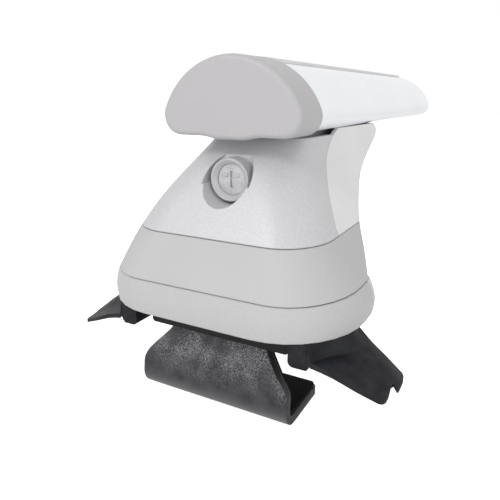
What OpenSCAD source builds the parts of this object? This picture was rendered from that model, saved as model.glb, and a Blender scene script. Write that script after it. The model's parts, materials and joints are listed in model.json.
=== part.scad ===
// Roof rack crossbar: one clamp foot under the outboard end of an aero bar.
// The origin is the centre of the roof seat, +Y runs inboard along the bar and +Z is up.

/* [Crossbar] */
// Width of the aero section
bar_w = 80.4; // [74:0.2:90]
// Height of the aero section
bar_h = 37.8; // [34:0.1:44]
// Radius of the section's lower corners
bar_corner_r = 8.5; // [7:0.5:10]
// Length of the bar from its outboard end to its inboard end
bar_len = 341; // [200:1:1350]
// Wall of the extrusion
bar_wall = 2.2; // [1.6:0.1:2.8]
// Width of the mouth of both T-slots
slot_mouth = 9; // [8.6:0.1:10]
// Width of the T-slots behind their lips
slot_w = 17; // [16.2:0.1:19]
// Depth of the T-slots behind their lips
slot_deep = 7; // [6:0.1:9]
// Height of the bar's underside over the roof seat
bar_z = 110.9; // [109:0.1:125]

/* [Crown strip] */
// Width of the strip's proud cap
strip_w = 14; // [11:0.5:16]
// Height of the strip's cap over the crown
strip_h = 2; // [1:0.1:3]
// Thickness of the strip's foot inside the slot
strip_foot = 2.4; // [1.5:0.1:4]

/* [End cap] */
// Outboard face of the cap, measured from the seat's centre
cap_reach = 20; // [10:0.5:26]
// Depth of the cap along the bar
cap_depth = 28; // [20:0.5:28]
// Thickness of the cap's skirt over the bar
cap_wall = 1.8; // [1.2:0.1:2]
// Thickness of the cap's face
cap_face = 4; // [2.5:0.1:8]
// Radius round the cap's face
cap_edge_r = 3; // [1.5:0.1:3.5]
// Depth of the bulge under the cap
cap_bulge = 1.7; // [1:0.1:2]
// Width of the bulge under the cap
cap_bulge_w = 36; // [24:1:44]
// Length of the plug tongues inside the bar
tongue_len = 16; // [8:0.5:20]

/* [Foot body] */
// Width of the body above the rim
foot_w = 146.6; // [140:0.2:156]
// Width of the neck under the bar
neck_w = 61; // [58:0.5:66]
// Reach of the body in front of the seat's centre, above the rim
front_reach = 54; // [52:0.5:58]
// Place of the neck's front, behind the seat's centre
neck_front = 7; // [6:0.5:8]
// Reach of the body behind the seat's centre, above the rim
back_reach = 28; // [27:0.5:32]
// Reach of the saddle nose behind the seat's centre
nose_reach = 141.5; // [134:0.5:146]
// How far the neck widens towards the back
splay = 7; // [2:0.5:9]
// Wall of the moulded shells
shell_t = 2.6; // [2:0.1:2.8]
// Height of the band's upper edge
band_z = 58.6; // [54:0.2:59]
// Place of the side seam at the band, behind the seat's centre
seam_low = -2.5; // [-6:0.5:8]
// Place of the side seam under the bar
seam_high = 62; // [50:0.5:66]
// Gap in every visible seam
seam_gap = 0.4; // [0.3:0.05:0.6]

/* [Rim] */
// Height of the rim's lower edge over the roof seat
rim_z = 15.4; // [14:0.2:16]
// Height of the rim itself
rim_h = 18.3; // [17:0.1:20]
// How far the rim bulges past its edges
rim_bulge = 2; // [1:0.1:3]
// How much wider the rim is at its lower edge than at its upper edge, each side
rim_flare = 2.6; // [1:0.1:4]
// Wall of the rim
rim_t = 3; // [2.4:0.1:3.4]
// Width of the rim's inward lip
rim_lip = 7; // [6:0.5:8]
// Place of the rim's side seam, behind the seat's centre
rim_seam = 4; // [0:0.5:16]

/* [Base plate and tower] */
// Thickness of the base plate
plate_t = 3; // [2.5:0.1:3.5]
// Width of the rib under the plate's front
flange_w = 89.2; // [80:0.2:94]
// Place of the rib's face, in front of the seat's centre
flange_reach = 35.8; // [35:0.2:36.6]
// Thickness of the rib
flange_t = 2.2; // [1.8:0.1:2.4]
// Distance between the tower's cheeks
cheek_gap = 40; // [38:0.5:42]
// Thickness of each cheek
cheek_t = 4; // [3:0.5:5]
// Thickness of the tower's floor
floor_t = 5; // [4:0.5:6]
// Thickness of the tower's saddle
saddle_t = 6; // [5:0.5:7]
// Thickness of the liner between saddle and bar
liner_t = 2; // [1.5:0.1:2.5]
// Nominal diameter of the bar bolts
bolt_d = 8; // [8:0.5:8.4]
// Place of the outboard bar bolt, behind the seat's centre
bolt_first = 46; // [42:1:50]
// Distance between the bar bolts
bolt_pitch = 40; // [34:1:42]

/* [Roof pad] */
// Width of the pad between the roots of its wings
pad_w = 118; // [112:1:122]
// Inner edge of each front block, from the middle
block_x = 48.7; // [48:0.1:52]
// Place of the blocks' faces, in front of the seat's centre
block_reach = 45.5; // [43:0.5:47]
// Reach of each wing from the middle
wing_reach = 100.5; // [92:0.5:104]
// Drop of the wing's tip under the roof seat
wing_drop = 9.5; // [4:0.5:12]
// Thickness of the wings at their tips
wing_t = 2; // [1.6:0.1:4]

/* [Hook bracket] */
// Thickness of the coated sheet
hook_t = 4.6; // [4:0.1:5]
// Width of the arm where it leaves the foot
hook_neck_w = 57; // [50:0.5:58]
// Width of the hook at its bend
hook_w = 95.5; // [84:0.5:104]
// Depth of the hook under the roof seat
hook_drop = 41.5; // [34:0.5:48]
// Width of the arm between the cheeks
arm_w = 36; // [30:0.5:36]
// Inner radius of the hook's bend
hook_bend_r = 6; // [5:0.5:8]
// Thickness of the hook's rubber liner
hook_liner_t = 2.4; // [1.5:0.1:3.5]
// Travel of the hook from open to tight
hook_travel = 8; // [4:0.5:8]
// Height of the clamp screw over the roof seat
screw_z = 61.5; // [60.5:0.1:61.5]
// Nominal diameter of the clamp screw
screw_d = 6; // [5.6:0.1:6]

/* [Lock] */
// Height of the lock over the roof seat
lock_z = 86.3; // [86:0.1:88]
// Outer diameter of the lock tube
tube_d = 23.6; // [22:0.2:24]
// Diameter of the keyed barrel
barrel_d = 17.2; // [15:0.1:17.4]
// Place of the tube's face, in front of the seat's centre
tube_reach = 19; // [16:0.5:20]
// Diameter of the pocket round the tube, wider above its ledges
pocket_d = 26.6; // [26:0.2:30]
// Place of the pocket's floor, in front of the seat's centre
pocket_reach = 9; // [8:0.5:12]

/* [Hidden] */

// Clearances
slide_gap = 0.2;
fit_gap = 0.3;
run_gap = 0.06;
bore_gap = 0.5;
cup_t = 2;
round_fn = 48;

// Section of the bar, as two corner circles under one crown circle
corner_x = bar_w / 2 - bar_corner_r;
corner_z = bar_z + bar_corner_r;
bar_top = bar_z + bar_h;
crown_rise = bar_top - corner_z;
crown_r = (corner_x * corner_x + crown_rise * crown_rise - bar_corner_r * bar_corner_r)
    / (2 * (crown_rise - bar_corner_r));
crown_z = bar_top - crown_r;
rib_x = slot_w / 2 + bar_wall / 2;

// Places along the bar
cap_y = -cap_reach;
cap_back = cap_y + cap_depth;
bar_y = cap_y + cap_face;

// Heights of the body
body_z = rim_z + rim_h;
foot_top = bar_z - fit_gap;
cap_low = bar_z - cap_wall - cap_bulge;
cover_top = cap_low - fit_gap;
frame_z = rim_z + rim_t + plate_t;
saddle_top = bar_z - slide_gap - liner_t;

// Shape of the body from rim to neck: height, width, front, back, splay and front corners,
// each as a share
BODY = [[0, 1, 0, 0, 0, 0], [0.16, 0.84, 0.098, 0.096, 0, 0.35], [0.33, 0.637, 0.21, 0.215, 0, 0.71],
    [0.5, 0.475, 0.352, 0.341, 0.1, 0.79], [0.655, 0.29, 0.495, 0.535, 0.3, 0.86],
    [0.8, 0.112, 0.664, 0.85, 0.6, 0.93], [0.88, 0.044, 0.795, 0.98, 0.821, 0.97],
    [0.95, 0, 0.918, 1, 1, 1], [1, 0, 1, 0.925, 1, 1]];
front_corner_w = 35;
front_corner_d = 46;
neck_corner = 22;
back_corner = 26;
nose_corner = 9;
corner_points = 8;
seam_bow = 1.75;

function mix(a, b, t) = a + (b - a) * t;
function clamp01(t) = max(0, min(1, t));
function smooth(t) = let (u = clamp01(t)) u * u * (3 - 2 * u);

// Value of one column of the body's shape at the share s, along a curve through the stations
function station(s) = len([for (row = BODY) if (row[0] <= s) 1]) - 1;
function body_share(s, col) =
    let (n = len(BODY), i = max(0, min(n - 2, station(clamp01(s)))),
        a = BODY[i], b = BODY[i + 1], p = BODY[max(0, i - 1)], q = BODY[min(n - 1, i + 2)],
        span = b[0] - a[0], t = (clamp01(s) - a[0]) / span,
        ma = span * (b[col] - p[col]) / (b[0] - p[0]),
        mb = span * (q[col] - a[col]) / (q[0] - a[0]))
    (2 * t * t * t - 3 * t * t + 1) * a[col] + (t * t * t - 2 * t * t + t) * ma
    + (3 * t * t - 2 * t * t * t) * b[col] + (t * t * t - t * t) * mb;

function body_s(z) = (z - body_z) / (foot_top - body_z);
function half_w(z) = mix(neck_w, foot_w, body_share(body_s(z), 1)) / 2;
function front_y(z) = mix(-front_reach, neck_front, body_share(body_s(z), 2));
function back_y(z) = mix(back_reach, nose_reach, body_share(body_s(z), 3));
function splay_x(z) = splay * body_share(body_s(z), 4);
function seam_y(z) = mix(seam_low, seam_high, pow(clamp01((z - band_z) / (bar_z - band_z)), seam_bow));

// Quarter of an ellipse in plan, from angle a to a + 90
function arc_points(cx, cy, rx, ry, a) = [for (i = [0:corner_points])
    [cx + rx * cos(a + 90 * i / corner_points), cy + ry * sin(a + 90 * i / corner_points)]];

// Outline in plan: half width in front, widening to the back, front, back, then the width and
// depth of the front corners and the depth of the back corners
function plan(w, wide, f, b, fx, fc, bc) =
    let (bx = bc * 1.25, wb = w + wide)
    concat(arc_points(w - fx, f + fc, fx, fc, -90), arc_points(wb - bx, b - bc, bx, bc, 0),
        arc_points(bx - wb, b - bc, bx, bc, 90), arc_points(fx - w, f + fc, fx, fc, 180));

function body_plan(z, inset) =
    let (s = clamp01(body_s(z)), c = body_share(s, 5))
    plan(half_w(z) - inset, splay_x(z), front_y(z) + inset, back_y(z) - inset,
        mix(front_corner_w, neck_corner, c) - inset, mix(front_corner_d, neck_corner, c) - inset,
        mix(back_corner, nose_corner, s) - inset);

// The rim is widest below its middle
function rim_out(z) = let (t = clamp01((z - rim_z) / rim_h))
    1 + rim_flare * (1 - t) + rim_bulge * sin(180 * t);
function rim_plan(z, inset) =
    let (out = rim_out(z) - inset)
    plan(foot_w / 2 + out, 0, -front_reach + 1.2 - out, back_reach + out,
        front_corner_w + 2.5 * out, front_corner_d - 2 + out, back_corner + out);

// Closed skin through rings of points, one ring at each height
module skin(rings, heights) {
    n = len(rings[0]);
    m = len(rings);
    points = [for (k = [0:m - 1]) for (p = rings[k]) [p[0], p[1], heights[k]]];
    sides = [for (k = [0:m - 2]) for (i = [0:n - 1]) let (j = (i + 1) % n)
        [k * n + i, (k + 1) * n + i, (k + 1) * n + j, k * n + j]];
    floor_face = [for (i = [0:n - 1]) i];
    roof_face = [for (i = [n - 1:-1:0]) (m - 1) * n + i];
    polyhedron(points, concat(sides, [floor_face, roof_face]), convexity = 6);
}

module body_skin(z0, z1, inset, steps, crowd = 1) {
    heights = [for (k = [0:steps]) mix(z1, z0, pow(1 - k / steps, crowd))];
    skin([for (z = heights) body_plan(z, inset)], heights);
}

module rim_skin(z0, z1, inset, steps) {
    heights = [for (k = [0:steps]) mix(z0, z1, k / steps)];
    skin([for (z = heights) rim_plan(z, inset)], heights);
}

// Outline in (y, z) made a slab across the whole width
module across(width) {
    rotate([90, 0, 90]) translate([0, 0, -width / 2]) linear_extrude(width) children();
}

// Outline in (x, z) drawn along +Y from y0
module along(y0, length) {
    translate([0, y0 + length, 0]) rotate([90, 0, 0]) linear_extrude(length) children();
}

// Cylinder along +Y from y0
module rod_y(x, y0, z, length, r, sides = round_fn) {
    translate([x, y0, z]) rotate([-90, 0, 0]) cylinder(h = length, r = r, $fn = sides);
}

module aero_outline(grow) {
    dx = corner_x;
    dz = corner_z - crown_z;
    reach = 2;
    union() {
        intersection() {
            translate([0, crown_z]) circle(r = crown_r + grow, $fn = 180);
            polygon([[-dx, corner_z], [-dx * reach, crown_z + dz * reach],
                [-dx * reach, bar_top + bar_h], [dx * reach, bar_top + bar_h],
                [dx * reach, crown_z + dz * reach], [dx, corner_z]]);
        }
        for (side = [-1, 1])
            translate([side * dx, corner_z]) circle(r = bar_corner_r + grow, $fn = round_fn);
        translate([-dx, bar_z - grow]) square([2 * dx, bar_corner_r + grow + 0.01]);
    }
}

module slot_outline(mouth_z, up) {
    lip = bar_wall + 1;
    translate([-slot_mouth / 2, mouth_z - lip]) square([slot_mouth, 2 * lip]);
    floor_z = up ? mouth_z - bar_wall - slot_deep : mouth_z + bar_wall;
    translate([-slot_w / 2, floor_z]) square([slot_w, slot_deep]);
}

module crossbar() {
    channel_h = slot_deep + 2 * bar_wall;
    color([0.83, 0.85, 0.88])
    along(bar_y, bar_len) difference() {
        aero_outline(0);
        difference() {
            aero_outline(-bar_wall);
            for (side = [-1, 1])
                translate([side * rib_x - bar_wall / 2, bar_z]) square([bar_wall, bar_h]);
            translate([-rib_x, bar_z]) square([2 * rib_x, channel_h]);
            translate([-rib_x, bar_top - channel_h]) square([2 * rib_x, channel_h]);
        }
        slot_outline(bar_z, false);
        slot_outline(bar_top, true);
    }
}

module top_strip() {
    stem_z = bar_top - bar_wall - strip_foot;
    y0 = cap_back + fit_gap;
    color([0.62, 0.63, 0.65])
    along(y0, bar_y + bar_len - y0) {
        translate([-slot_mouth / 2 + fit_gap, stem_z])
            square([slot_mouth - 2 * fit_gap, bar_top - stem_z]);
        translate([-slot_w / 2 + fit_gap, stem_z]) square([slot_w - 2 * fit_gap, strip_foot - fit_gap]);
        intersection() {
            difference() {
                translate([0, crown_z]) circle(r = crown_r + strip_h, $fn = 180);
                translate([0, crown_z]) circle(r = crown_r + 0.05, $fn = 180);
            }
            translate([-strip_w / 2, bar_top - strip_h]) square([strip_w, 2 * strip_h]);
        }
    }
}

// Outline of the cap in (x, z), drawn in by inset: bulge, corner, crown and corner
crown_angle = atan2(corner_z - crown_z, corner_x);
function bulge_z(x) = cap_bulge * smooth((cap_bulge_w / 2 - abs(x)) / 11);
function cap_ring(inset) =
    let (n = 10, m = 26, r = bar_corner_r + cap_wall - inset, big = crown_r + cap_wall - inset)
    concat([for (k = [1:2 * n - 1]) let (x = corner_x * (k / n - 1))
            [x, bar_z - cap_wall + inset - bulge_z(x)]],
        [for (k = [0:n]) let (a = mix(-90, crown_angle, k / n))
            [corner_x + r * cos(a), corner_z + r * sin(a)]],
        [for (k = [1:m - 1]) let (a = mix(crown_angle, 180 - crown_angle, k / m))
            [big * cos(a), crown_z + big * sin(a)]],
        [for (k = [n:-1:0]) let (a = mix(-90, crown_angle, k / n))
            [-corner_x - r * cos(a), corner_z + r * sin(a)]]);

module end_cap() {
    turns = [90, 60, 30, 0];
    ys = concat([for (a = turns) cap_y + cap_edge_r * (1 - sin(a))], [cap_back]);
    insets = concat([for (a = turns) cap_edge_r * (1 - cos(a))], [0]);
    tongue_w = 12;
    tongue_h = 16;
    color([0.77, 0.77, 0.78]) {
        difference() {
            rotate([90, 0, 0]) skin([for (k = [len(ys) - 1:-1:0]) cap_ring(insets[k])],
                [for (k = [len(ys) - 1:-1:0]) -ys[k]]);
            along(bar_y, cap_depth) aero_outline(0.15);
        }
        for (side = [-1, 1])
            translate([side * (rib_x + bar_wall + 1 + tongue_w / 2), bar_y + tongue_len / 2 - 0.5,
                bar_z + bar_wall + 0.5 + tongue_h / 2])
                cube([tongue_w, tongue_len + 1, tongue_h], center = true);
    }
}

// Places of the hook's arm and of what it passes
flange_back = -flange_reach + flange_t;
arm_low_y = flange_back + fit_gap + hook_t / 2;
arm_y = -14.5;
arm_back_y = arm_y + hook_t / 2;
arm_front_y = arm_y - hook_t / 2;
arm_top = screw_z + 7;
slot_back = arm_low_y + hook_t / 2 + hook_travel + bore_gap;
saddle_front = max(cap_back + fit_gap, neck_front + 6);
saddle_back = bolt_first + bolt_pitch + 12;
screw_r = screw_d / 2;
web_y = arm_back_y + hook_travel + fit_gap;
web_t = 12;
nut_half = 5;
nut_t = 5;
nut_y = web_y + 3.2;
floor_back = back_reach - shell_t - 5;

// Places of the cam behind the barrel and of the catch in front of it
cam_y = 6.5;
cam_t = 1.7;
catch_t = 3.4;
catch_y = cam_y - fit_gap - catch_t;

// Side view of one cheek of the tower
module cheek_outline() {
    polygon([[slot_back + 0.3, frame_z], [floor_back, frame_z], [floor_back, frame_z + 20],
        [floor_back + 11, frame_z + 38], [floor_back + 32, frame_z + 62],
        [saddle_back, saddle_top - saddle_t], [saddle_back, saddle_top],
        [saddle_front, saddle_top], [saddle_front, lock_z + 14], [catch_y, lock_z + 10],
        [catch_y, lock_z - 10], [arm_back_y + hook_travel - 2, screw_z + 8.5],
        [slot_back + 4, screw_z + 2]]);
}

module hook_slot() {
    slot_half = hook_neck_w / 2 + 1.5;
    y0 = flange_back + 0.05;
    translate([-slot_half, y0, -1]) cube([2 * slot_half, slot_back - y0, frame_z + floor_t + 2]);
}

bolt_ys = [bolt_first, bolt_first + bolt_pitch];
plate_screw_xy = [for (x = [-1, 1]) for (p = [[42.5, -10], [10, 10]]) [x * p[0], p[1]]];
shell_screw_xy = [[-47, 17], [47, 17]];
shell_post_top = band_z + 18;

plate_screw_r = 2.9;
shell_screw_r = 2;

module floor_plan(inset) {
    polygon(rim_plan(rim_z, inset));
}

module foot_frame() {
    cheek_x = cheek_gap / 2;
    boss_h = 12;
    color([0.55, 0.56, 0.58])
    difference() {
        union() {
            translate([0, 0, frame_z]) linear_extrude(floor_t) floor_plan(rim_t + 4);
            for (side = [-1, 1])
                translate([side * (cheek_x + cheek_t / 2), 0, 0]) across(cheek_t) cheek_outline();
            translate([-cheek_x - 1, saddle_front, saddle_top - saddle_t])
                cube([cheek_gap + 2, saddle_back - saddle_front, saddle_t]);
            translate([cheek_x - 8.8, catch_y, lock_z - 8]) cube([9.8, catch_t, 16]);
            translate([-cheek_x - 1, web_y, screw_z - 11]) cube([cheek_gap + 2, web_t, 19]);
            translate([-cheek_x - 1, floor_back - 4, frame_z + 1]) cube([cheek_gap + 2, 4, 22]);
            for (p = plate_screw_xy) translate([p[0], p[1], frame_z + 1])
                cylinder(h = boss_h - 1, r = 6, $fn = round_fn);
        }
        hook_slot();
        rod_y(0, web_y - 1, screw_z, web_t + 2, screw_r + bore_gap);
        translate([-nut_half - run_gap, nut_y - slide_gap, screw_z - nut_half - run_gap])
            cube([2 * (nut_half + run_gap), nut_t + 2 * slide_gap, 40]);
        for (y = bolt_ys) translate([0, y, saddle_top - saddle_t - 1])
            cylinder(h = saddle_t + 2, r = bolt_d / 2 + bore_gap, $fn = round_fn);
        for (p = plate_screw_xy) translate([p[0], p[1], frame_z - 1])
            cylinder(h = boss_h - 1, r = plate_screw_r + run_gap, $fn = round_fn);
        for (p = shell_screw_xy) translate([p[0], p[1], frame_z - 1])
            cylinder(h = floor_t + 2, r = shell_screw_r + fit_gap, $fn = round_fn);
    }
}

module saddle_liner() {
    color([0.2, 0.2, 0.21])
    difference() {
        translate([-cheek_gap / 2 - cheek_t, saddle_front, saddle_top])
            cube([cheek_gap + 2 * cheek_t, saddle_back - saddle_front, liner_t]);
        for (y = bolt_ys) translate([0, y, saddle_top - 1])
            cylinder(h = liner_t + 2, r = bolt_d / 2 + bore_gap, $fn = round_fn);
    }
}

washer_t = 1.6;
nut_h = 6.5;
head_half = slot_w / 2 - 0.8;
head_t = slot_deep - 2.2;
washer_z = saddle_top - saddle_t - washer_t;

module bar_bolts() {
    head_z = bar_z + bar_wall + slide_gap;
    low = washer_z - nut_h - 3;
    color([0.75, 0.76, 0.78])
    for (y = bolt_ys) {
        translate([-head_half, y - head_half, head_z]) cube([2 * head_half, 2 * head_half, head_t]);
        translate([0, y, low]) cylinder(h = head_z - low, r = bolt_d / 2, $fn = round_fn);
    }
}

module ring(h, r_out, r_in) {
    difference() {
        cylinder(h = h, r = r_out, $fn = round_fn);
        translate([0, 0, -1]) cylinder(h = h + 2, r = r_in, $fn = round_fn);
    }
}

module bar_washers() {
    color([0.78, 0.79, 0.8])
    for (y = bolt_ys) translate([0, y, washer_z]) ring(washer_t, bolt_d, bolt_d / 2 + 0.3);
}

module hex_nut(h, across_flats, r_in) {
    difference() {
        cylinder(h = h, r = across_flats / 2 / cos(30), $fn = 6);
        translate([0, 0, -1]) cylinder(h = h + 2, r = r_in, $fn = round_fn);
    }
}

module bar_nuts() {
    color([0.72, 0.73, 0.75])
    for (y = bolt_ys) translate([0, y, washer_z - nut_h]) hex_nut(nut_h, 13, bolt_d / 2 + run_gap);
}

// Side view of what lies behind the side seam, with the seam moved back by shift
module behind_seam(shift) {
    z0 = band_z - 12;
    z1 = foot_top + 10;
    steps = 14;
    polygon(concat([for (k = [0:steps]) let (z = mix(z0, z1, k / steps)) [seam_y(z) + shift, z]],
        [[nose_reach + 20, z1], [nose_reach + 20, z0]]));
}

module rear_shell() {
    low = band_z + seam_gap / 2;
    post_low = frame_z + floor_t + fit_gap;
    color([0.84, 0.84, 0.85])
    difference() {
        union() {
            difference() {
                intersection() {
                    body_skin(low, foot_top, 0, 14, 1.4);
                    across(foot_w + 20) behind_seam(seam_gap / 2);
                }
                body_skin(low - 3, foot_top + 1, shell_t, 14, 1.4);
            }
            intersection() {
                body_skin(post_low - 2, foot_top, 0.5, 14);
                for (p = shell_screw_xy) translate([p[0], p[1], post_low])
                    cylinder(h = shell_post_top - post_low, r = 3.6, $fn = 16);
            }
        }
        for (p = shell_screw_xy) translate([p[0], p[1], post_low - 1])
            cylinder(h = 14, r = shell_screw_r + run_gap, $fn = 24);
    }
}

module trim_band() {
    low = body_z + seam_gap;
    high = band_z - seam_gap / 2;
    color([0.78, 0.78, 0.78])
    difference() {
        body_skin(low, high, 0, 6);
        body_skin(low - 3, high + 3, shell_t, 7);
    }
}

module rim_ring() {
    low = rim_z;
    difference() {
        rim_skin(low, body_z, 0, 6);
        rim_skin(low + 2.6, body_z + 1, rim_t, 5);
        translate([0, 0, low - 1]) linear_extrude(5) floor_plan(rim_lip);
    }
}

module front_skirt() {
    color([0.81, 0.81, 0.82])
    intersection() {
        rim_ring();
        translate([-foot_w, -foot_w, 0]) cube([2 * foot_w, foot_w + rim_seam - seam_gap / 2, body_z]);
    }
}

module rear_skirt() {
    color([0.81, 0.81, 0.82])
    intersection() {
        rim_ring();
        translate([-foot_w, rim_seam + seam_gap / 2, 0]) cube([2 * foot_w, foot_w, body_z]);
    }
}

module base_plate() {
    low = frame_z - plate_t;
    rib_r = 2;
    color([0.17, 0.17, 0.18])
    difference() {
        union() {
            translate([0, 0, low]) linear_extrude(plate_t) intersection() {
                floor_plan(rim_t + 2);
                translate([-foot_w, -flange_reach]) square(2 * foot_w);
            }
            along(-flange_reach, flange_t) {
                translate([-flange_w / 2, rib_r]) square([flange_w, frame_z - rib_r]);
                translate([rib_r - flange_w / 2, slide_gap]) square([flange_w - 2 * rib_r, rib_r + 1]);
                for (side = [-1, 1]) translate([side * (flange_w / 2 - rib_r), rib_r + slide_gap])
                    circle(r = rib_r, $fn = round_fn);
            }
        }
        hook_slot();
        for (p = plate_screw_xy) translate([p[0], p[1], low - 1])
            cylinder(h = plate_t + 2, r = plate_screw_r + fit_gap, $fn = round_fn);
        for (p = shell_screw_xy) translate([p[0], p[1], low - 1])
            cylinder(h = plate_t + 2, r = shell_screw_r + fit_gap, $fn = round_fn);
    }
}

module plate_screws() {
    head_h = 2.4;
    color([0.6, 0.61, 0.63])
    for (p = plate_screw_xy) translate([p[0], p[1], frame_z - plate_t]) {
        translate([0, 0, -head_h]) cylinder(h = head_h, r = 5, $fn = round_fn);
        translate([0, 0, -1]) cylinder(h = 13, r = plate_screw_r, $fn = round_fn);
    }
}

module shell_screws() {
    head_h = 2;
    color([0.6, 0.61, 0.63])
    for (p = shell_screw_xy) translate([p[0], p[1], frame_z - plate_t]) {
        translate([0, 0, -head_h]) cylinder(h = head_h, r = 4, $fn = round_fn);
        translate([0, 0, -1]) cylinder(h = 14, r = shell_screw_r, $fn = round_fn);
    }
}

// Right wing of the pad as columns from its front edge to its back edge: root, top and foot of
// the wall that drops from the pad, then down the sheet to a little past the tip
WING = [[[52, -45, 15.2], [59.5, -45.2, 15.2], [61, -45.8, 5.3], [72, -44.5, 2], [83.5, -43, -3.2],
        [96.5, -40.7, -8.6]],
    [[52, -38, 15.2], [61.5, -37, 15.2], [66.5, -34.5, 4.8], [76, -34.5, 2.2], [86, -34.5, -2.7],
        [99.5, -34.5, -9.2]],
    [[52, -30, 15.2], [68, -29, 15.2], [74, -27, 4.8], [82, -27.5, 2.8], [91, -28, -2.4],
        [101.5, -28.5, -9.6]],
    [[52, -20, 15.2], [73, -20, 15.2], [79.5, -20, 6.4], [85.5, -20, 3.8], [92, -20, -0.8],
        [102.5, -20, -9.6]],
    [[52, -6, 15.2], [70, -8, 15.2], [76, -11, 12], [82.3, -11.5, 6.3], [89.3, -11.5, 0.9],
        [102.5, -11.5, -10.2]]];
wing_root = WING[0][0][0];
wing_foot = 2;
wing_end = 5;
// Outline of the tip in plan, with the nick in its edge
WING_TIP = [[93, -41.5], [94.8, -41], [96.4, -39.6], [97.3, -37.4], [97.5, -33.7], [97, -27.3],
    [97.7, -25.2], [98.9, -26], [99.9, -26.8], [100.5, -25.8], [100.7, -23], [100.6, -16],
    [100, -13], [98.6, -10.9], [96, -9]];
wing_full = 100.7;
wing_full_drop = 9.5;
wing_stretch = (wing_reach - wing_root) / (wing_full - wing_root);
function wing_x(x) = wing_root + (x - wing_root) * wing_stretch;

// Point on a smooth curve through the points p, at t counted in points
function curve(p, t) =
    let (n = len(p) - 1, i = min(n - 1, floor(t)), u = t - i, a = p[max(0, i - 1)], b = p[i],
        c = p[i + 1], d = p[min(n, i + 2)])
    b + (c - a) * u / 2 + (2 * a - 5 * b + 4 * c - d) * u * u / 2
    + (3 * b - a - 3 * c + d) * u * u * u / 2;

// Point of one column at u from root to tip: straight down to the wall's foot, smooth beyond it
function column_point(column, u) = u < wing_foot
    ? let (i = floor(u)) mix(column[i], column[i + 1], u - i)
    : curve([for (i = [wing_foot:wing_end]) column[i]], u - wing_foot);

// Point of the wing at u from root to tip and v from front to back, lowered by its thickness
function wing_point(u, v, low) =
    let (p = curve([for (column = WING) column_point(column, u)], v),
        thick = mix(wing_t + 1, wing_t, clamp01((u - wing_foot) / 3)),
        z = min(rim_z - slide_gap, p[2] + (u < wing_foot ? rim_z - WING[0][0][2] - slide_gap : 0)),
        down = u < wing_foot ? mix(z - 1, thick, clamp01(u - 1)) : thick)
    [wing_x(p[0]), p[1], (z < 0 ? z * wing_drop / wing_full_drop : z) - (low ? down : 0)];

module wing_sheet() {
    us = [0, 1, 1.5, 2, 2.5, 3, 3.5, 4, 4.5, 5];
    nu = len(us) - 1;
    nv = 10;
    top = [for (u = us) for (j = [0:nv]) wing_point(u, 4 * j / nv, false)];
    low = [for (u = us) for (j = [0:nv]) wing_point(u, 4 * j / nv, true)];
    n = len(top);
    w = nv + 1;
    quads_top = [for (i = [0:nu - 1]) for (j = [0:nv - 1])
        [i * w + j, i * w + j + 1, (i + 1) * w + j + 1, (i + 1) * w + j]];
    quads_low = [for (q = quads_top) [n + q[3], n + q[2], n + q[1], n + q[0]]];
    front_side = [for (i = [0:nu - 1]) [i * w, (i + 1) * w, n + (i + 1) * w, n + i * w]];
    back_side = [for (i = [0:nu - 1])
        [(i + 1) * w + nv, i * w + nv, n + i * w + nv, n + (i + 1) * w + nv]];
    root_side = [for (j = [0:nv - 1]) [j + 1, j, n + j, n + j + 1]];
    tip_side = [for (j = [0:nv - 1])
        [nu * w + j, nu * w + j + 1, n + nu * w + j + 1, n + nu * w + j]];
    polyhedron(concat(top, low),
        concat(quads_top, quads_low, front_side, back_side, root_side, tip_side), convexity = 4);
}

module wing() {
    intersection() {
        wing_sheet();
        translate([0, 0, -2 * wing_drop - 10]) linear_extrude(2 * wing_drop + 30)
            polygon(concat([[0, -foot_w]], [[wing_x(93), -foot_w]],
                [for (p = WING_TIP) [wing_x(p[0]), p[1]]], [[wing_x(96), foot_w], [0, foot_w]]));
    }
}

// What is cut out between the front blocks, with the round of their lower inner edges
module block_gap(height) {
    block_r = 3;
    translate([-block_x, -1]) square([2 * block_x, height + 1]);
    for (side = [0, 1]) mirror([side, 0]) translate([block_x - 1, -1]) difference() {
        square([block_r + 1, block_r + 1]);
        translate([block_r + 1, block_r + 1]) circle(r = block_r, $fn = round_fn);
    }
}

module roof_pad() {
    low_plate = frame_z - plate_t;
    color([0.2, 0.2, 0.21])
    difference() {
        union() {
            linear_extrude(rim_z - 0.2) intersection() {
                floor_plan(2.5);
                translate([-pad_w / 2, -block_reach]) square([pad_w, 2 * foot_w]);
            }
            linear_extrude(low_plate - 0.1) intersection() {
                floor_plan(rim_lip + 0.5);
                translate([-foot_w, -block_reach]) square(2 * foot_w);
            }
            for (side = [0, 1]) mirror([side, 0, 0]) wing();
        }
        along(-foot_w, foot_w + slot_back + hook_liner_t + 1) block_gap(low_plate + 1);
        for (p = concat(plate_screw_xy, shell_screw_xy)) translate([p[0], p[1], low_plate - 4])
            cylinder(h = 10, r = 5.5, $fn = round_fn);
    }
}

// Centre line of the hook's sheet in (y, z), from the arm's top to the tip of the lip
lip_y = 2.4;
lip_z = hook_t / 2 - hook_drop;
hook_path = [[arm_y, arm_top], [arm_y, screw_z - 11.5], [arm_low_y, frame_z + 12],
    [arm_low_y, -1.2], [-38.4, -12.5], [-41.6, lip_z], [lip_y, lip_z]];
hook_radii = [0, 8, 8, 8, 14, hook_bend_r + hook_t / 2, 0];

function unit(v) = v / norm(v);
function left(v) = [-v[1], v[0]];

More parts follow.
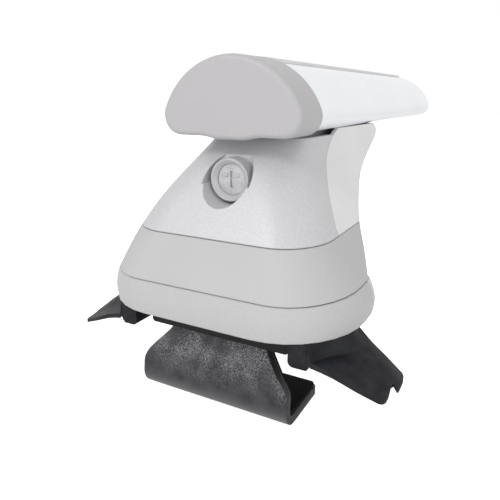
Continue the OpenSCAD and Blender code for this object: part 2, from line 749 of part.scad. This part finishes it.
// One edge of a bent sheet, at the distance d to the left of its centre line
function bend_points(path, radii, i, d) =
    let (a = unit(path[i] - path[i - 1]), b = unit(path[i + 1] - path[i]),
        turn = atan2(a[0] * b[1] - a[1] * b[0], a * b), side = sign(turn), r = radii[i],
        start = path[i] - a * r * tan(abs(turn) / 2), centre = start + left(a) * side * r,
        n = max(4, ceil(abs(turn) / 4)))
    [for (k = [0:n]) let (w = turn * k / n, e = -left(a) * side)
        centre + (r - side * d) * [e[0] * cos(w) - e[1] * sin(w), e[0] * sin(w) + e[1] * cos(w)]];

function sheet_edge(path, radii, d) =
    let (last = len(path) - 1, a = unit(path[1] - path[0]), b = unit(path[last] - path[last - 1]))
    concat([path[0] + left(a) * d],
        [for (i = [1:last - 1]) for (p = bend_points(path, radii, i, d)) p],
        [path[last] + left(b) * d]);

// Side view of a sheet that lies between the distances d0 and d1 left of the centre line
module bent_sheet(path, radii, d0, d1) {
    near = sheet_edge(path, radii, d0);
    polygon(concat(sheet_edge(path, radii, d1), [for (i = [len(near) - 1:-1:0]) near[i]]));
}

// Rounded corners of the lip, cut from both ends of a width
module lip_corners(width, tip_y, corner) {
    for (side = [-1, 1]) translate([side * width / 2, tip_y, -hook_drop - 5]) difference() {
        translate([-corner, -corner, 0]) cube([2 * corner, 2 * corner, 22]);
        translate([-side * corner, -corner, -1]) cylinder(h = 24, r = corner, $fn = round_fn);
    }
}

// Front view of the hook: arm, shoulders under the foot and the flare down to the bend
module hook_front(inset = 0) {
    low = -hook_drop - 2;
    shoulder = frame_z + floor_t + 1;
    steps = 10;
    flare_top = 6;
    flare_low = 17.5 - hook_drop;
    flare = [for (k = [0:steps]) let (t = k / steps)
        [mix(hook_neck_w, hook_w, smooth(t)) / 2 - inset, mix(flare_top, flare_low, t)]];
    right = concat([[arm_w / 2, arm_top + 1], [arm_w / 2, shoulder + 6],
        [hook_neck_w / 2 - inset, shoulder - 2]], flare, [[hook_w / 2 - inset, low]]);
    polygon(concat(right, [for (i = [len(right) - 1:-1:0]) [-right[i][0], right[i][1]]]));
}

module hook_bracket() {
    color([0.2, 0.2, 0.21])
    difference() {
        intersection() {
            across(hook_w + 2) bent_sheet(hook_path, hook_radii, -hook_t / 2, hook_t / 2);
            along(-70, 80) hook_front();
        }
        lip_corners(hook_w, lip_y + 0.3, 4.5);
        rod_y(0, arm_y - hook_t, screw_z, 2 * hook_t, screw_r + bore_gap);
    }
}

// The liner lies on the inner face of the hook, from behind the plate's rib to the lip's edge
module hook_liner() {
    last = len(hook_path) - 1;
    path = concat([[arm_low_y, 4]], [for (i = [3:last - 1]) hook_path[i]],
        [hook_path[last] - [1.5, 0]]);
    radii = concat([0], [for (i = [3:last]) hook_radii[i]]);
    color([0.1, 0.1, 0.1])
    difference() {
        intersection() {
            across(hook_w - 1.5) bent_sheet(path, radii, hook_t / 2, hook_t / 2 + hook_liner_t);
            along(-70, 80) hook_front(0.8);
        }
        lip_corners(hook_w - 1.5, lip_y - 1, 4);
    }
}

clamp_washer_t = 1.5;
head_h = 6;
head_r = 5;

module clamp_washer() {
    color([0.75, 0.76, 0.78])
    translate([0, arm_front_y - clamp_washer_t, screw_z]) rotate([-90, 0, 0])
        ring(clamp_washer_t, 6, screw_r + fit_gap);
}

module clamp_screw() {
    head_y = arm_front_y - clamp_washer_t - 0.1;
    key_r = 2.9;
    color([0.6, 0.61, 0.63])
    difference() {
        union() {
            rod_y(0, head_y - head_h, screw_z, head_h, head_r);
            rod_y(0, head_y + head_h - 7, screw_z, nut_y + nut_t + 2 - head_y, screw_r);
        }
        rod_y(0, head_y - head_h - 1, screw_z, 4.5, key_r, 6);
    }
}

module clamp_nut() {
    color([0.75, 0.76, 0.78])
    difference() {
        translate([-nut_half, nut_y, screw_z - nut_half]) cube([2 * nut_half, nut_t, 2 * nut_half]);
        rod_y(0, nut_y - 1, screw_z, nut_t + 2, screw_r + run_gap);
    }
}

tube_r = tube_d / 2;
neck_r = tube_r - 1.5;

module front_cover() {
    low = band_z + seam_gap / 2;
    cup_back = -pocket_reach + cup_t;
    pocket_r = pocket_d / 2;
    wide_r = pocket_r + 1.4;
    ledge_z = lock_z - 2.4;
    color([0.8, 0.81, 0.83])
    difference() {
        union() {
            difference() {
                body_skin(low, cover_top, 0, 12);
                body_skin(low - 3, cover_top + 3, shell_t, 12);
            }
            intersection() {
                body_skin(low, cover_top, 0, 12);
                rod_y(0, -front_reach, lock_z, front_reach + cup_back, wide_r + cup_t);
            }
        }
        across(foot_w + 20) behind_seam(-seam_gap / 2);
        rod_y(0, -foot_w, lock_z, foot_w - pocket_reach, pocket_r);
        intersection() {
            rod_y(0, -foot_w, lock_z, foot_w - pocket_reach, wide_r);
            translate([-foot_w, -foot_w, ledge_z]) cube(2 * foot_w);
        }
        rod_y(0, -foot_w, lock_z, foot_w + 10, neck_r + 0.1);
    }
}

module lock_housing() {
    color([0.3, 0.3, 0.31])
    difference() {
        union() {
            rod_y(0, -tube_reach, lock_z, tube_reach - pocket_reach, tube_r);
            rod_y(0, -pocket_reach - 0.1, lock_z, pocket_reach + 6, neck_r);
        }
        rod_y(0, -tube_reach - 1, lock_z, tube_reach + 10, barrel_d / 2 + run_gap);
    }
}

module lock_nut() {
    color([0.6, 0.61, 0.63])
    translate([0, -pocket_reach + cup_t + 0.05, lock_z]) rotate([-90, 0, 0]) difference() {
        cylinder(h = 3, r = neck_r + 1.9, $fn = round_fn);
        translate([0, 0, -1]) cylinder(h = 5, r = neck_r + 0.1, $fn = round_fn);
    }
}

module lock_barrel() {
    face = -tube_reach + 3;
    key_w = 2;
    key_h = 9;
    color([0.35, 0.35, 0.36])
    difference() {
        rod_y(0, face, lock_z, cam_y - 0.1 - face, barrel_d / 2);
        translate([-key_w / 2, face - 1, lock_z - key_h / 2]) cube([key_w, 9, key_h]);
    }
}

module lock_cam() {
    cam_len = 15.3;
    cam_w = 9;
    color([0.7, 0.71, 0.73])
    translate([0, cam_y + cam_t, lock_z]) rotate([90, 0, 0]) linear_extrude(cam_t) difference() {
        union() {
            circle(r = 6.5, $fn = round_fn);
            translate([-cam_w / 2, 0]) square([cam_w, cam_len - 3]);
            translate([1 - cam_w / 2, 0]) square([cam_w - 2, cam_len]);
        }
        circle(r = 2.1, $fn = round_fn);
    }
}

module cam_screw() {
    color([0.75, 0.76, 0.78]) {
        rod_y(0, cam_y + cam_t, lock_z, 2.4, 3.6);
        rod_y(0, cam_y + 0.05, lock_z, 3, 2);
    }
}

crossbar();
top_strip();
end_cap();
foot_frame();
saddle_liner();
bar_bolts();
bar_washers();
bar_nuts();
rear_shell();
trim_band();
front_skirt();
rear_skirt();
base_plate();
plate_screws();
shell_screws();
roof_pad();
hook_bracket();
hook_liner();
clamp_washer();
clamp_screw();
clamp_nut();
front_cover();
lock_housing();
lock_nut();
lock_barrel();
lock_cam();
cam_screw();
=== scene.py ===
import json
import math

import bmesh
import bpy
from mathutils import Matrix, Vector

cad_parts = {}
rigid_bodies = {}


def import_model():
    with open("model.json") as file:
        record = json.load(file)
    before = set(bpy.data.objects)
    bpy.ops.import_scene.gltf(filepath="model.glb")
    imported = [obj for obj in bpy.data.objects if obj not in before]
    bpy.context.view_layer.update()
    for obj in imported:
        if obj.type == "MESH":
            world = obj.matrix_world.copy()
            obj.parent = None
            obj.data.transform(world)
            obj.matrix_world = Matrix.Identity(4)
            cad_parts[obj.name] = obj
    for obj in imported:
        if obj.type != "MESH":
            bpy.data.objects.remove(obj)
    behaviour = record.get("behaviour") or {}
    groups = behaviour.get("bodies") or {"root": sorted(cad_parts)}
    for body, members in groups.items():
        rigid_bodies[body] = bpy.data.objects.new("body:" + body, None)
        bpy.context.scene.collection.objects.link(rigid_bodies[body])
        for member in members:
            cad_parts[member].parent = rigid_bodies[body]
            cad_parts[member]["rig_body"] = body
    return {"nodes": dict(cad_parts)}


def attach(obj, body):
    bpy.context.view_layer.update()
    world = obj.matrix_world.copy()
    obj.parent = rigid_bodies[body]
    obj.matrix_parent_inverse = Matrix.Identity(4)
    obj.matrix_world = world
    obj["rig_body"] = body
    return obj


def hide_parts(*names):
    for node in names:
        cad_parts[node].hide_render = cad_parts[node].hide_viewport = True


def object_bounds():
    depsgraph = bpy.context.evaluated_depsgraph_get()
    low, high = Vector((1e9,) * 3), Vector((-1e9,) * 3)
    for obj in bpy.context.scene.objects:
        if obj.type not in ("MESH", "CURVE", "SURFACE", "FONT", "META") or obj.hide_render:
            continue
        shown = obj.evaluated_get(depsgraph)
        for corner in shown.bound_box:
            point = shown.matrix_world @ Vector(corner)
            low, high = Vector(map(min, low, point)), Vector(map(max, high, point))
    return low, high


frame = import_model()
bpy.context.view_layer.update()
plain_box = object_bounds()
nodes = frame["nodes"]

# The view, set before anything is dressed.
# The foot is seen from outside the car, from its right and a little above, through a lens of
# about 36 mm on a 36 mm square.
view = bpy.data.objects.new("view", bpy.data.cameras.new("view"))
view.data.sensor_fit = "HORIZONTAL"
view.data.sensor_width = 36.0
view.data.lens = 36.25
view.data.clip_start = 0.01
view.data.clip_end = 20.0
view.location = (0.1400, -0.2516, 0.1302)
view.rotation_euler = (math.radians(72.91), 0.0, math.radians(28.64))
bpy.context.scene.collection.objects.link(view)
bpy.context.scene.camera = view
bpy.context.scene.view_settings.view_transform = "Standard"


# Base plate: 3 mm steel with a rib turned down under its front, punched for the hook and screws.
# It is powder coated in black, which leaves a faint orange peel, and its edges catch the light.
def tone(red, green, blue):
    """A colour as it looks on screen, each part from 0 to 255, as the value a shader takes."""
    parts = [c / 255 for c in (red, green, blue)]
    return tuple(c / 12.92 if c < 0.04 else ((c + 0.055) / 1.055) ** 2.4 for c in parts) + (1.0,)


def add_node(tree, kind, **inputs):
    """One shader node with its input values, named as they are in the node with _ for a space."""
    made = tree.nodes.new(kind)
    for name, value in inputs.items():
        made.inputs[name.replace("_", " ")].default_value = value
    return made


def add_math(tree, operation):
    """One node for a sum with numbers."""
    made = tree.nodes.new("ShaderNodeMath")
    made.operation = operation
    return made


def add_blend(tree):
    """One node that mixes two colours, which are its inputs 6 and 7, into its output 2."""
    made = tree.nodes.new("ShaderNodeMix")
    made.data_type = "RGBA"
    return made


def add_inverse(tree):
    """One node that divides 1 by its input 1, as a pattern's scale comes from its size."""
    made = add_math(tree, "DIVIDE")
    made.inputs[0].default_value = 1.0
    return made


def wire(tree, *rows):
    """Links nodes: each row holds a node, its output, the node after it and that one's input."""
    for before, output, after, entry in rows:
        tree.links.new(before.outputs[output], after.inputs[entry])


def new_effect(name, takes, gives):
    """An empty node group for an effect that several finishes share."""
    effect = bpy.data.node_groups.new(name, "ShaderNodeTree")
    for socket, kind in takes:
        effect.interface.new_socket(name=socket, in_out="INPUT", socket_type=kind)
    for socket, kind in gives:
        effect.interface.new_socket(name=socket, in_out="OUTPUT", socket_type=kind)
    return effect, effect.nodes.new("NodeGroupInput"), effect.nodes.new("NodeGroupOutput")


# Surface relief: soft pits of one size with finer ones on them, pressed in to a given depth
relief, taken, given = new_effect(
    "surface_relief",
    [("Size", "NodeSocketFloat"), ("Stretch", "NodeSocketVector"), ("Depth", "NodeSocketFloat")],
    [("Normal", "NodeSocketVector"), ("Mask", "NodeSocketFloat")])
place = relief.nodes.new("ShaderNodeTexCoord")
stretched = relief.nodes.new("ShaderNodeVectorMath")
stretched.operation = "MULTIPLY"
inverse = add_inverse(relief)
coarse = add_node(relief, "ShaderNodeTexNoise", Detail=2.0, Roughness=0.55)
fine = add_node(relief, "ShaderNodeTexVoronoi")
fine.feature = "SMOOTH_F1"
height = add_math(relief, "ADD")
press = add_node(relief, "ShaderNodeBump", Strength=1.0)
wire(relief,
    (place, "Object", stretched, 0),
    (taken, "Stretch", stretched, 1),
    (taken, "Size", inverse, 1),
    (stretched, 0, coarse, "Vector"),
    (inverse, 0, coarse, "Scale"),
    (stretched, 0, fine, "Vector"),
    (inverse, 0, fine, "Scale"),
    (coarse, "Fac", height, 0),
    (fine, "Distance", height, 1),
    (height, 0, press, "Height"),
    (taken, "Depth", press, "Distance"),
    (press, "Normal", given, "Normal"),
    (coarse, "Fac", given, "Mask"))

# Tone drift: two shades that run into each other in patches of a given size
drift, taken, given = new_effect(
    "tone_drift",
    [("Patch", "NodeSocketFloat"), ("Low", "NodeSocketColor"), ("High", "NodeSocketColor")],
    [("Color", "NodeSocketColor")])
place = drift.nodes.new("ShaderNodeTexCoord")
inverse = add_inverse(drift)
cloud = add_node(drift, "ShaderNodeTexNoise", Detail=4.0, Roughness=0.6)
spread = add_node(drift, "ShaderNodeMapRange", From_Min=0.35, From_Max=0.65)
blend = add_blend(drift)
wire(drift,
    (place, "Object", cloud, "Vector"),
    (taken, "Patch", inverse, 1),
    (inverse, 0, cloud, "Scale"),
    (cloud, "Fac", spread, "Value"),
    (spread, "Result", blend, "Factor"),
    (taken, "Low", blend, 6),
    (taken, "High", blend, 7),
    (blend, 2, given, "Color"))


def new_finish(name, low, high, patch, rough, relief_size, relief_depth, metallic=0.0,
        stretch=(1.0, 1.0, 1.0), rough_change=0.08, specular=0.5, edge=0.0004):
    """A finish whose shade drifts from low to high over a surface relief, with edges that catch
    the light over a radius of edge."""
    finish = bpy.data.materials.new(name)
    finish.use_nodes = True
    tree = finish.node_tree
    shader = tree.nodes["Principled BSDF"]
    shader.inputs["Metallic"].default_value = metallic
    shader.inputs["Specular IOR Level"].default_value = specular
    shades = tree.nodes.new("ShaderNodeGroup")
    shades.node_tree = drift
    shades.inputs["Patch"].default_value = patch
    shades.inputs["Low"].default_value = low
    shades.inputs["High"].default_value = high
    pits = tree.nodes.new("ShaderNodeGroup")
    pits.node_tree = relief
    pits.inputs["Size"].default_value = relief_size
    pits.inputs["Stretch"].default_value = stretch
    pits.inputs["Depth"].default_value = relief_depth
    sheen = add_node(tree, "ShaderNodeMapRange", To_Min=rough - rough_change,
        To_Max=rough + rough_change)
    worn = tree.nodes.new("ShaderNodeBevel")
    worn.samples = 4
    worn.inputs["Radius"].default_value = edge
    wire(tree,
        (pits, "Mask", sheen, "Value"),
        (shades, "Color", shader, "Base Color"),
        (sheen, "Result", shader, "Roughness"),
        (pits, "Normal", worn, "Normal"),
        (worn, "Normal", shader, "Normal"))
    return finish


def dress(node, finish):
    """Gives a CAD node its finish."""
    slots = nodes[node].data.materials
    slots.clear()
    slots.append(finish)


powder_coat = new_finish("black_powder_coat", tone(15, 15, 17), tone(24, 24, 26), patch=0.02,
    rough=0.5, relief_size=0.0012, relief_depth=0.00003, specular=0.25)
dress("base_plate", powder_coat)

# Foot frame: the cast aluminium tower with its floor, cheeks, saddle and nut seat.
# The casting is left as it comes from the die, grey and faintly grainy.
cast_aluminium = new_finish("cast_aluminium", tone(164, 165, 168), tone(182, 183, 186),
    patch=0.012, rough=0.55, relief_size=0.0009, relief_depth=0.00005, metallic=0.7)
dress("foot_frame", cast_aluminium)

# Plate screws and shell screws: zinc plated, four with wide heads through plate and frame and two
# that pull the rear shell down from below.
zinc_plate = new_finish("zinc_plate", tone(176, 178, 182), tone(198, 199, 202), patch=0.004,
    rough=0.34, relief_size=0.0006, relief_depth=0.00001, metallic=1.0)
dress("plate_screws", zinc_plate)
dress("shell_screws", zinc_plate)


# Roof pad: one black rubber moulding that seats the foot on the roof, with a block at each side
# of the front and a drooping wing beside each, creased where the wing leaves the block.
def crease(mesh, degrees):
    """Shades a bmesh smooth, but for the edges that turn by more than so many degrees."""
    for face in mesh.faces:
        face.smooth = True
    for edge in mesh.edges:
        edge.smooth = edge.calc_face_angle(0.0) < math.radians(degrees)


def moulded_copy(node, name, sharp=35.0, soft_edge=0.0, segments=2):
    """A copy of a CAD skin with its points merged and its curves shaded smooth; its sharp edges
    are rounded by soft_edge."""
    shell = bmesh.new()
    shell.from_mesh(nodes[node].data)
    bmesh.ops.remove_doubles(shell, verts=shell.verts, dist=1e-6)
    bmesh.ops.dissolve_limit(shell, angle_limit=math.radians(0.5), verts=shell.verts,
        edges=shell.edges)
    crease(shell, sharp)
    piece = bpy.data.objects.new(name, bpy.data.meshes.new(name))
    shell.to_mesh(piece.data)
    shell.free()
    bpy.context.scene.collection.objects.link(piece)
    if soft_edge:
        rounding = piece.modifiers.new("soft_edge", "BEVEL")
        rounding.width = soft_edge
        rounding.segments = segments
        rounding.limit_method = "ANGLE"
        rounding.angle_limit = math.radians(sharp)
    levelled = piece.modifiers.new("levelled", "WEIGHTED_NORMAL")
    levelled.keep_sharp = True
    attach(piece, nodes[node]["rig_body"])
    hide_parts(node)
    return piece


black_rubber = new_finish("black_rubber", tone(9, 10, 13), tone(37, 38, 43), patch=0.012,
    rough=0.5, relief_size=0.0018, relief_depth=0.00005, specular=0.22, rough_change=0.12)
pad = moulded_copy("roof_pad", "rubber_pad", sharp=32.0, soft_edge=0.0007)
pad.data.materials.append(black_rubber)

# Rim: a front and a rear skirt, moulded in pale plastic, that meet in an upright seam at each side
# and turn in under the foot. Their grain is fine and even, and the rear one is paler.
for node, name, shade in (("front_skirt", "rim_front", 190), ("rear_skirt", "rim_rear", 214)):
    skirt_plastic = new_finish(name + "_plastic", tone(shade, shade, shade + 1),
        tone(shade + 5, shade + 5, shade + 6), patch=0.0014, rough=0.5, relief_size=0.0006,
        relief_depth=0.00003, edge=0.0007)
    skirt = moulded_copy(node, name, soft_edge=0.0006)
    skirt.data.materials.append(skirt_plastic)

# Trim band: a plain satin belt clipped round the foot between rim and cover. It is bare, of one
# even shade all round.
band_plastic = new_finish("band_plastic", tone(192, 192, 192), tone(195, 195, 195), patch=0.05,
    rough=0.6, relief_size=0.0004, relief_depth=0.000006, edge=0.0007)
band = moulded_copy("trim_band", "satin_band", soft_edge=0.0003)
band.data.materials.append(band_plastic)

# Rear shell: the fixed half of the body behind the side seam, which runs up and inboard into the
# long nose under the bar. It has a matte grain and is paler than the cover and the band.
shell_plastic = new_finish("shell_plastic", tone(232, 232, 232), tone(236, 236, 236), patch=0.03,
    rough=0.62, relief_size=0.0003, relief_depth=0.00002, edge=0.0009)
shell = moulded_copy("rear_shell", "back_shell", soft_edge=0.0006)
shell.data.materials.append(shell_plastic)

# Saddle liner: a thin sheet of grey rubber between the tower's saddle and the bar, so that the bar
# grips without being scratched.
liner_rubber = new_finish("liner_rubber", tone(168, 168, 168), tone(178, 178, 178), patch=0.02,
    rough=0.6, relief_size=0.0012, relief_depth=0.00002, specular=0.3)
dress("saddle_liner", liner_rubber)

# Bar bolts, bar washers and bar nuts: zinc plated steel. The bolts' square heads slide in the
# bar's lower slot, and the nuts pull them down against the saddle from below.
for node in ("bar_bolts", "bar_washers", "bar_nuts"):
    dress(node, zinc_plate)

# Clamp screw, clamp washer and clamp nut: zinc plated steel. The screw, turned from the front once
# the cover is off, draws the hook inboard against the nut in the foot frame.
for node in ("clamp_washer", "clamp_screw", "clamp_nut"):
    dress(node, zinc_plate)

# Lock nut, lock cam and cam screw: zinc plated steel. The nut holds the lock's tube in the cover,
# and the screw holds the cam on the end of the barrel.
for node in ("lock_nut", "lock_cam", "cam_screw"):
    dress(node, zinc_plate)

# Crossbar: an extruded aero section in silver anodised aluminium with ribs and two slots inside.
# Faint drawing lines run along it.
anodised = new_finish("silver_anodised", tone(235, 237, 240), tone(238, 240, 243), patch=0.05,
    rough=0.36, relief_size=0.0012, relief_depth=0.000006, metallic=0.85,
    stretch=(1.0, 0.01, 1.0))
dress("crossbar", anodised)

# Crown strip: pale grey rubber, extruded in one length and pressed into the bar's upper slot.
# Its grain runs along the bar.
strip_rubber = new_finish("strip_rubber", tone(222, 222, 221), tone(229, 229, 228), patch=0.03,
    rough=0.6, relief_size=0.0012, relief_depth=0.00002, stretch=(1.0, 0.1, 1.0))
dress("top_strip", strip_rubber)

# End cap: a moulded plastic cap pushed over the bar's end, with a rounded edge round its plain,
# finely pebbled face.
cap_plastic = new_finish("cap_plastic", tone(184, 182, 184), tone(191, 189, 191), patch=0.0008,
    rough=0.46, relief_size=0.0007, relief_depth=0.00007, rough_change=0.12, edge=0.0012)
cap = moulded_copy("end_cap", "bar_cap", sharp=40.0)
cap.data.materials.append(cap_plastic)

# Hook bracket: thick steel sheet, bent under the door frame's edge and coated in a leathery black
# plastic. Its pale flecks run downwards in patches, are thickest near the foot and fade out at the
# bend, which is smooth and painted lighter there as a highlight. Faces turned to either side, the
# cut edges among them, are painted near black as shade.
flecks_gone_z, flecks_full_z = -0.033, -0.006
bend_highlight_start_z, bend_highlight_full_z = -0.026, -0.039
downwards = (1.0, 1.0, 0.6)
hook_coat = new_finish("leathery_coat", tone(32, 32, 36), tone(64, 64, 68), patch=0.010,
    rough=0.42, relief_size=0.0009, relief_depth=0.00014, stretch=downwards, specular=0.35,
    edge=0.0012)
tree = hook_coat.node_tree
shader = tree.nodes["Principled BSDF"]
undercoat = shader.inputs["Base Color"].links[0].from_node
place = tree.nodes.new("ShaderNodeTexCoord")
streaks = tree.nodes.new("ShaderNodeMapping")
streaks.inputs["Scale"].default_value = downwards
flecks = add_node(tree, "ShaderNodeTexNoise", Scale=1500.0, Detail=3.0, Roughness=0.6)
contrast = add_node(tree, "ShaderNodeMapRange", From_Min=0.42, From_Max=0.66)
clouds = add_node(tree, "ShaderNodeTexNoise", Scale=75.0, Detail=2.0, Roughness=0.5)
thick = add_node(tree, "ShaderNodeMapRange", From_Min=0.38, From_Max=0.62, To_Min=0.25,
    To_Max=1.0)
heights = tree.nodes.new("ShaderNodeSeparateXYZ")
fade = add_node(tree, "ShaderNodeMapRange", From_Min=flecks_gone_z,
    From_Max=flecks_full_z)
fade.interpolation_type = "SMOOTHSTEP"
amount = add_math(tree, "MULTIPLY")
patched = add_math(tree, "MULTIPLY")
grained = add_blend(tree)
grained.inputs[7].default_value = tone(158, 158, 162)
# Painted highlight: towards the bottom of the bend the coat is blended into a light grey, standing
# in for the light that the bend catches.
bend_highlight_mask = add_node(tree, "ShaderNodeMapRange", From_Min=bend_highlight_full_z, From_Max=bend_highlight_start_z,
    To_Min=1.0, To_Max=0.0)
bend_highlight_mask.interpolation_type = "SMOOTHSTEP"
painted_bend_highlight = add_blend(tree)
painted_bend_highlight.inputs[7].default_value = tone(104, 104, 106)
# Painted shade: faces whose normal turns to either side are blended to near black, standing in for
# the shade they fall in.
facing = tree.nodes.new("ShaderNodeNewGeometry")
sides = tree.nodes.new("ShaderNodeSeparateXYZ")
sideways = add_math(tree, "ABSOLUTE")
side_shade_mask = add_node(tree, "ShaderNodeMapRange", From_Min=0.45, From_Max=0.65)
painted_side_shade = add_blend(tree)
painted_side_shade.inputs[7].default_value = tone(14, 14, 16)
wire(tree,
    (place, "Object", streaks, "Vector"),
    (streaks, "Vector", flecks, "Vector"),
    (place, "Object", clouds, "Vector"),
    (place, "Object", heights, "Vector"),
    (heights, "Z", fade, "Value"),
    (heights, "Z", bend_highlight_mask, "Value"),
    (flecks, "Fac", contrast, "Value"),
    (clouds, "Fac", thick, "Value"),
    (contrast, "Result", amount, 0),
    (fade, "Result", amount, 1),
    (amount, 0, patched, 0),
    (thick, "Result", patched, 1),
    (patched, 0, grained, "Factor"),
    (undercoat, "Color", grained, 6),
    (grained, 2, painted_bend_highlight, 6),
    (bend_highlight_mask, "Result", painted_bend_highlight, "Factor"),
    (facing, "Normal", sides, "Vector"),
    (sides, "X", sideways, 0),
    (sideways, 0, side_shade_mask, "Value"),
    (painted_bend_highlight, 2, painted_side_shade, 6),
    (side_shade_mask, "Result", painted_side_shade, "Factor"),
    (painted_side_shade, 2, shader, "Base Color"))
hook = moulded_copy("hook_bracket", "coated_hook", soft_edge=0.0009, segments=3)
hook.data.materials.append(hook_coat)

# Hook liner: black rubber moulded to the inside of the hook, so that the hook doesn't mark the
# door frame. It is duller and darker than the hook.
jaw_rubber = new_finish("jaw_rubber", tone(7, 7, 8), tone(14, 14, 15), patch=0.02, rough=0.7,
    relief_size=0.0016, relief_depth=0.00003, specular=0.1)
liner = moulded_copy("hook_liner", "jaw_liner", soft_edge=0.0006)
liner.data.materials.append(jaw_rubber)

# Front cover: the removable half of the body, moulded plastic painted in a finely speckled satin
# silver, with the lock's pocket in it. The lock holds it on.
cover_plastic = new_finish("cover_plastic", tone(199, 199, 201), tone(208, 208, 210),
    patch=0.0012, rough=0.48, relief_size=0.0008, relief_depth=0.00003, metallic=0.18,
    edge=0.0009)
cover = moulded_copy("front_cover", "satin_cover", soft_edge=0.0006)
cover.data.materials.append(cover_plastic)

# Lock housing: a plastic tube that the barrel turns in, held in the cover's pocket by a nut behind
# it. Its mouth is a short funnel, cut here by widening the front end of its bore.
lock_plastic = new_finish("lock_plastic", tone(186, 186, 188), tone(192, 192, 194), patch=0.01,
    rough=0.30, relief_size=0.0004, relief_depth=0.000006, edge=0.0005)
barrel_metal = new_finish("barrel_metal", tone(186, 186, 189), tone(204, 204, 206), patch=0.003,
    rough=0.36, relief_size=0.0008, relief_depth=0.00004, metallic=0.2)
housing = moulded_copy("lock_housing", "lock_tube", soft_edge=0.0005, segments=3)
housing.data.materials.append(lock_plastic)
lock_z = 0.0863
funnel_end_y = -0.0168
front_end_y = -0.0185
bore_limit_r = 0.0095
mouth_r = 0.0108
funnel = bmesh.new()
funnel.from_mesh(housing.data)
bmesh.ops.bisect_plane(funnel, geom=funnel.verts[:] + funnel.edges[:] + funnel.faces[:],
    dist=1e-6, plane_co=(0.0, funnel_end_y, 0.0), plane_no=(0.0, 1.0, 0.0))
for corner in funnel.verts:
    if corner.co.y < front_end_y:
        out = Vector((corner.co.x, 0.0, corner.co.z - lock_z))
        if out.length < bore_limit_r:
            corner.co += out * (mouth_r / out.length - 1.0)
crease(funnel, 25)
funnel.to_mesh(housing.data)
funnel.free()

# Lock barrel: the metal plug that the key turns. Its face has two raised keys beside the top of
# the keyway, a pip over it, and a dust leaf that closes the keyway.
face_y = -0.016
key_x, key_rise, key_size = 0.0036, 0.0024, (0.0026, 0.0012, 0.0018, 1.0)
leaf_depth, leaf_size = 0.0014, (0.0018, 0.0006, 0.0088, 1.0)
pip_depth, pip_rise, pip_r = 0.0003, 0.0060, 0.0007
barrel = moulded_copy("lock_barrel", "keyed_barrel", soft_edge=0.0002)
details = bmesh.new()
details.from_mesh(barrel.data)
for side in (-1.0, 1.0):
    bmesh.ops.create_cube(details, size=1.0, matrix=Matrix.Translation(
        (side * key_x, face_y, lock_z + key_rise)) @ Matrix.Diagonal(key_size))
bmesh.ops.create_cube(details, size=1.0, matrix=Matrix.Translation(
    (0.0, face_y + leaf_depth, lock_z)) @ Matrix.Diagonal(leaf_size))
bmesh.ops.create_uvsphere(details, u_segments=16, v_segments=8, radius=pip_r,
    matrix=Matrix.Translation((0.0, face_y + pip_depth, lock_z + pip_rise)))
crease(details, 35)
details.to_mesh(barrel.data)
details.free()
barrel.data.materials.append(barrel_metal)


# The studio: a pale floor under the hook's bend and a white backdrop. Both are brighter to the
# camera and in reflections than in the light that they cast on the object.
def camera_or_glossy(tree):
    """A light path node, and a node whose output 0 is 1 for rays of the camera and of gloss."""
    seen = tree.nodes.new("ShaderNodeLightPath")
    either = add_math(tree, "MAXIMUM")
    wire(tree, (seen, "Is Camera Ray", either, 0), (seen, "Is Glossy Ray", either, 1))
    return seen, either


floor_drop = 0.0003
floor = bmesh.new()
bmesh.ops.create_grid(floor, x_segments=1, y_segments=1, size=4.0,
    matrix=Matrix.Translation((0.0, 0.0, plain_box[0].z - floor_drop)))
ground = bpy.data.objects.new("ground", bpy.data.meshes.new("ground"))
floor.to_mesh(ground.data)
floor.free()
bpy.context.scene.collection.objects.link(ground)
paper = bpy.data.materials.new("white_paper")
paper.use_nodes = True
tree = paper.node_tree
matte = tree.nodes["Principled BSDF"]
matte.inputs["Base Color"].default_value = (0.9, 0.9, 0.9, 1.0)
matte.inputs["Roughness"].default_value = 0.9
matte.inputs["Specular IOR Level"].default_value = 0.1
seen, either = camera_or_glossy(tree)
glow = tree.nodes.new("ShaderNodeEmission")
shine = add_node(tree, "ShaderNodeMapRange", To_Min=0.3, To_Max=0.85)
lift = tree.nodes.new("ShaderNodeAddShader")
choose = tree.nodes.new("ShaderNodeMixShader")
wire(tree,
    (seen, "Is Camera Ray", shine, "Value"),
    (shine, "Result", glow, "Strength"),
    (matte, 0, lift, 0),
    (glow, 0, lift, 1),
    (either, 0, choose, 0),
    (matte, 0, choose, 1),
    (lift, 0, choose, 2),
    (choose, 0, tree.nodes["Material Output"], "Surface"))
ground.data.materials.append(paper)

studio = bpy.data.worlds.new("studio")
studio.use_nodes = True
bpy.context.scene.world = studio
tree = studio.node_tree
dome = tree.nodes["Background"]
dome.inputs["Color"].default_value = (1.0, 1.0, 1.0, 1.0)
seen, either = camera_or_glossy(tree)
level = add_node(tree, "ShaderNodeMapRange", To_Min=0.67, To_Max=1.0)
wire(tree, (either, 0, level, "Value"), (level, "Result", dome, "Strength"))

# A soft key from high in front draws the cap's shadow on the cover, a broad fill lights the right
# side, and a low light in front keeps the hollows open.
aim = Vector((0.0, 0.02, 0.06))
for name, width, watts, spot in (("key", 0.32, 3.0, (-0.28, -0.80, 0.86)),
        ("fill", 1.0, 3.0, (0.88, -0.78, 0.30)), ("low", 0.4, 1.0, (0.10, -1.00, 0.06))):
    lamp = bpy.data.lights.new(name, "AREA")
    lamp.shape = "SQUARE"
    lamp.size = width
    lamp.energy = watts
    softbox = bpy.data.objects.new(name, lamp)
    softbox.location = spot
    softbox.rotation_euler = (aim - softbox.location).to_track_quat("-Z", "Y").to_euler()
    bpy.context.scene.collection.objects.link(softbox)

bpy.context.view_layer.update()
